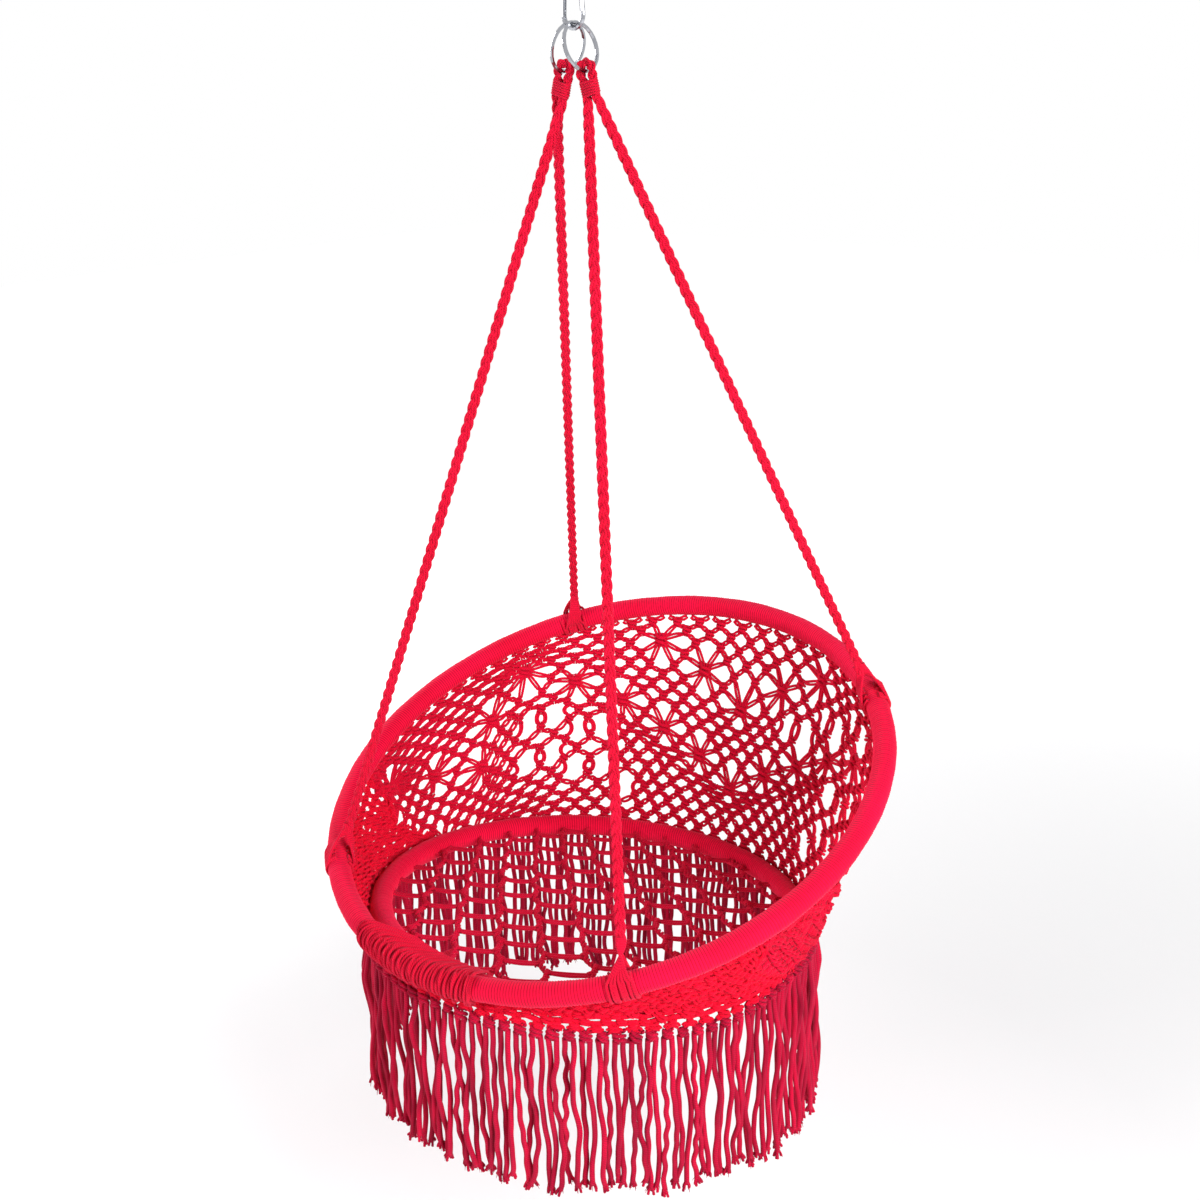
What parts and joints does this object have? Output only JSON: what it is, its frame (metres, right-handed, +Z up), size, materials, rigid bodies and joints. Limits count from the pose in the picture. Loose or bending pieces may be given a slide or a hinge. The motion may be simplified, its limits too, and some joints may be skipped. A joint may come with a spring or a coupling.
{
  "type": "hammock chair",
  "caption": "Hanging macrame hammock chair: netted seat hoop, tilted back hoop, openwork wall, long fringe, ropes to rings on a snap hook.",
  "frame": {"origin": "where the snap hook bears on whatever holds the chair up: the top of the inside of the hook's upper bend", "axes": "+Z up, the sitter faces -Y, +X is the sitter's left"},
  "size_m": [0.8216, 0.7815, 1.5685],
  "materials": {
    "plated_steel": "polished",
    "spring_steel": "satin",
    "tube_steel": "satin",
    "cotton_cord": "matte",
    "braided_rope": "matte",
    "hoop_winding": "matte",
    "net_cord": "matte",
    "fringe_cord": "matte"
  },
  "bodies": {
    "snap_hook": {"snap_hook_body": "plated_steel", "gate_pin": "plated_steel"},
    "gate": {"snap_hook_gate": "plated_steel", "gate_spring": "spring_steel"},
    "left_ring": {"ring_left": "plated_steel"},
    "right_ring": {"ring_right": "plated_steel"},
    "chair": {"rope_eye_left": "braided_rope", "rope_eye_right": "braided_rope", "eye_whipping_left": "cotton_cord", "eye_whipping_right": "cotton_cord", "rope_front_left": "braided_rope", "rope_front_right": "braided_rope", "rope_rear_left": "braided_rope", "rope_rear_right": "braided_rope", "rope_lashing_front_left": "cotton_cord", "rope_lashing_front_right": "cotton_cord", "rope_lashing_rear_left": "cotton_cord", "rope_lashing_rear_right": "cotton_cord", "seat_hoop_tube": "tube_steel", "seat_hoop_spigot": "tube_steel", "seat_hoop_wrap": "hoop_winding", "back_hoop_tube": "tube_steel", "back_hoop_spigot": "tube_steel", "back_hoop_wrap": "hoop_winding", "front_lashing": "cotton_cord", "seat_net": "net_cord", "wall_back": "cotton_cord", "wall_back_left": "cotton_cord", "wall_back_right": "cotton_cord", "wall_side_left": "cotton_cord", "wall_side_right": "cotton_cord", "wall_front_left": "cotton_cord", "wall_front_right": "cotton_cord", "front_band_left": "cotton_cord", "front_band_right": "cotton_cord", "fringe_back": "fringe_cord", "fringe_back_left": "fringe_cord", "fringe_left_back": "fringe_cord", "fringe_left": "fringe_cord", "fringe_left_front": "fringe_cord", "fringe_front_left": "fringe_cord", "fringe_front": "fringe_cord", "fringe_front_right": "fringe_cord", "fringe_right_front": "fringe_cord", "fringe_right": "fringe_cord", "fringe_right_back": "fringe_cord", "fringe_back_right": "fringe_cord"}
  },
  "joints": [
    {"name": "gate_hinge", "type": "hinge", "parent": "snap_hook", "child": "gate", "pos_m": [0.012, 0, -0.01525], "axis": [0, 1, 0], "range_deg": [0, 25], "stiffness_Nm_per_rad": 0.08, "springref_deg": -20.05},
    {"name": "left_ring_sway", "type": "hinge", "parent": "snap_hook", "child": "left_ring", "pos_m": [0, 0, -0.05475], "axis": [0, 1, 0], "range_deg": [-10, 10]},
    {"name": "right_ring_sway", "type": "hinge", "parent": "snap_hook", "child": "right_ring", "pos_m": [0, 0, -0.05475], "axis": [0, 1, 0], "range_deg": [-10, 10]},
    {"name": "chair_swing", "type": "hinge", "parent": "left_ring", "child": "chair", "pos_m": [0, 0, -0.0912], "axis": [1, 0, 0], "range_deg": [-20, 20]}
  ],
  "couplings": [
    {"joint": "right_ring_sway", "follows": "left_ring_sway", "ratio": 1}
  ]
}
